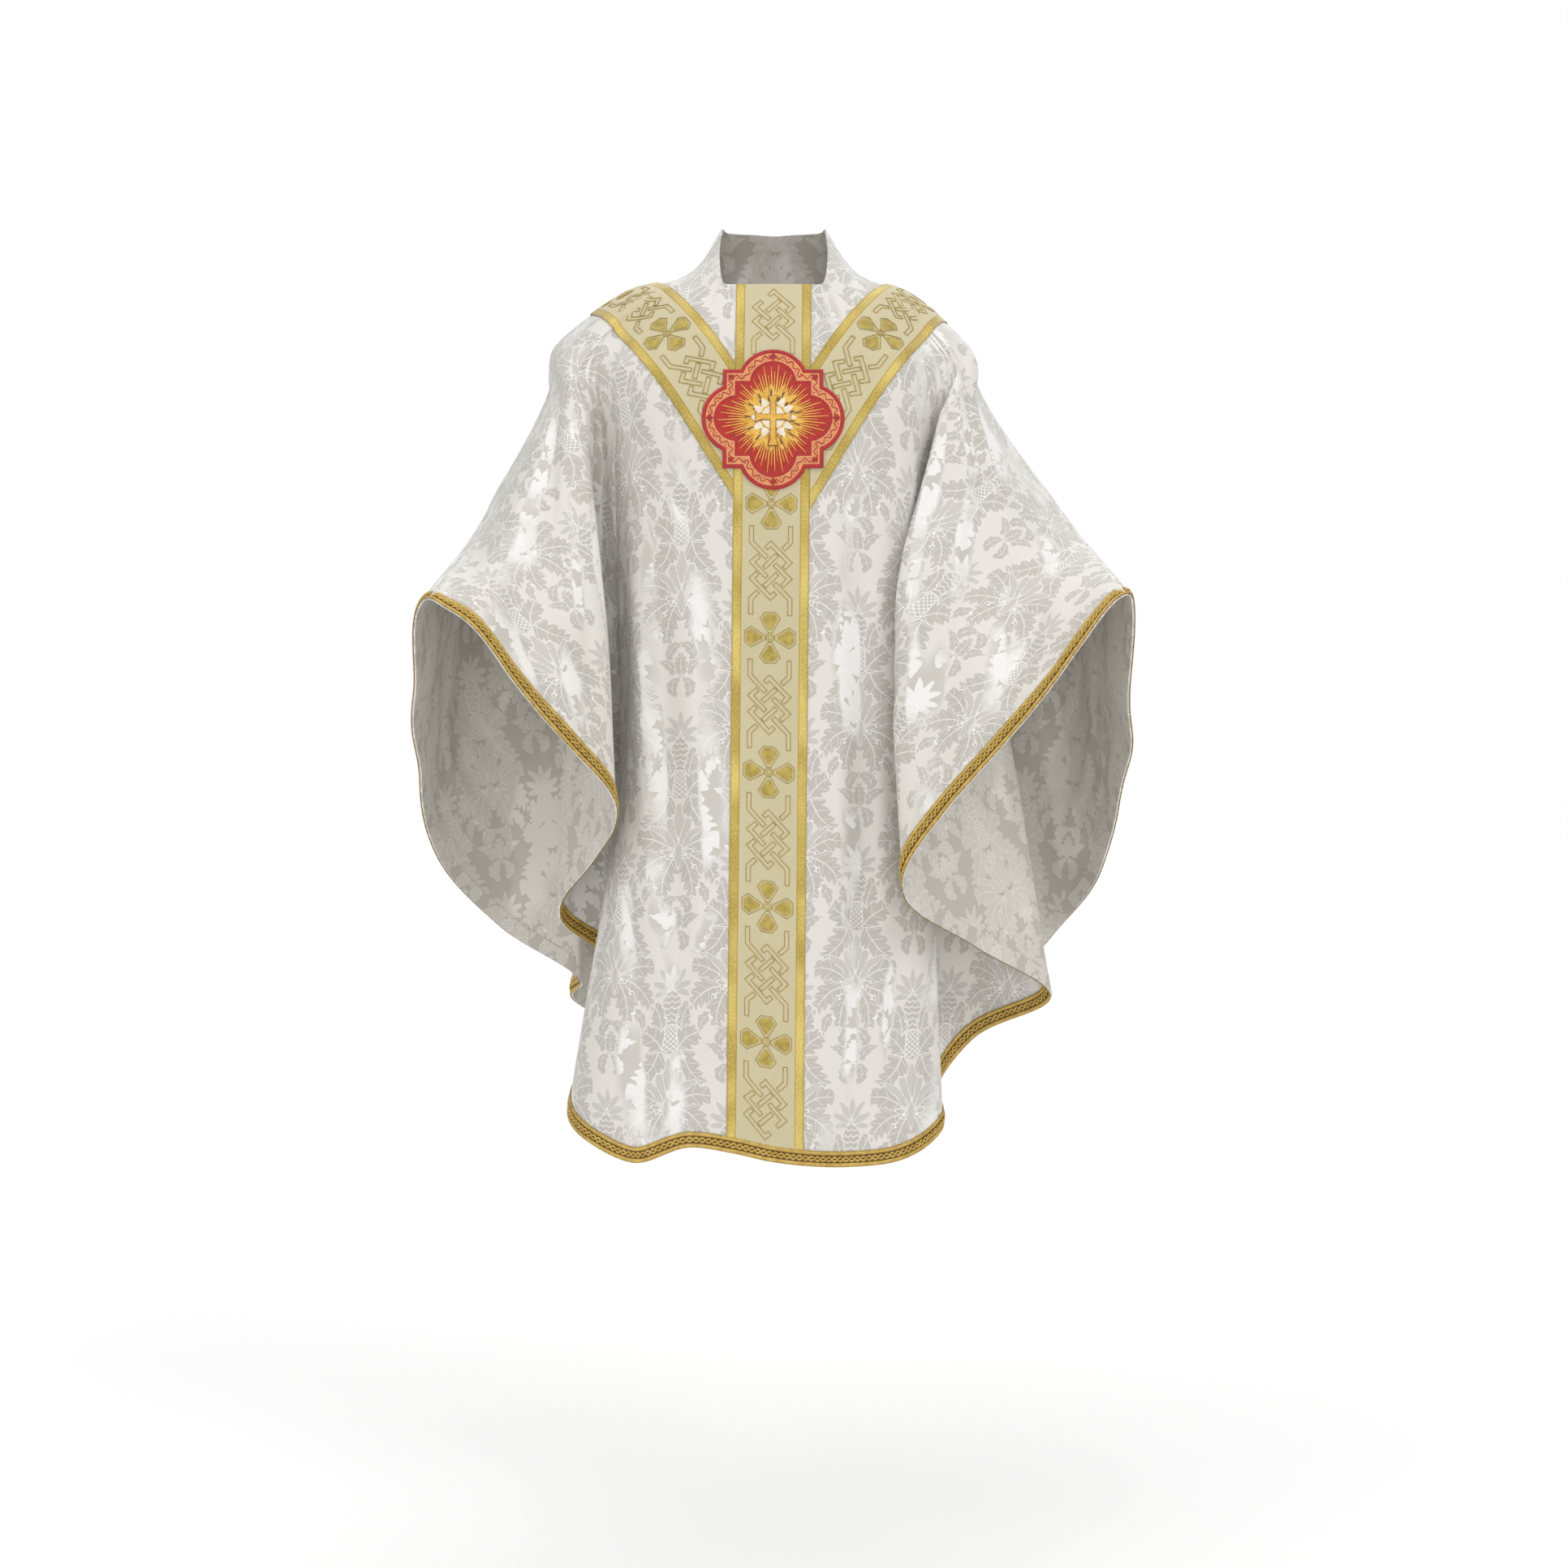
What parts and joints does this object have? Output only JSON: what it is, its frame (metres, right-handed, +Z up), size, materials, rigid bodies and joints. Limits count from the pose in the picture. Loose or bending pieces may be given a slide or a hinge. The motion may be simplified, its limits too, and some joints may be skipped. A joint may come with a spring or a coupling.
{
  "type": "gothic chasuble",
  "caption": "Wide draped poncho-like vestment of pale damask, in a worn pose with raised forearms, with a galloon Y orphrey, an embroidered medallion and a braided hem.",
  "frame": {"origin": "centre of the neck opening at the height where the shoulders carry the cloth", "axes": "+Z up, the front faces -Y, +X towards the viewer's right when the front is looked at"},
  "size_m": [0.9387, 0.5208, 1.2522],
  "materials": {
    "damask": "white damask, satin figures on a duller ground",
    "galloon": "woven beige band with metallic gold edges and figures",
    "braid": "plaited metallic gold thread",
    "embroidery": "red and gold satin stitch"
  },
  "bodies": {
    "root": {"front_panel": "damask", "back_panel": "damask", "front_column": "galloon", "front_arm_right": "galloon", "front_arm_left": "galloon", "back_column": "galloon", "back_arm_right": "galloon", "back_arm_left": "galloon", "medallion": "embroidery", "front_braid": "braid", "back_braid": "braid"}
  },
  "joints": []
}
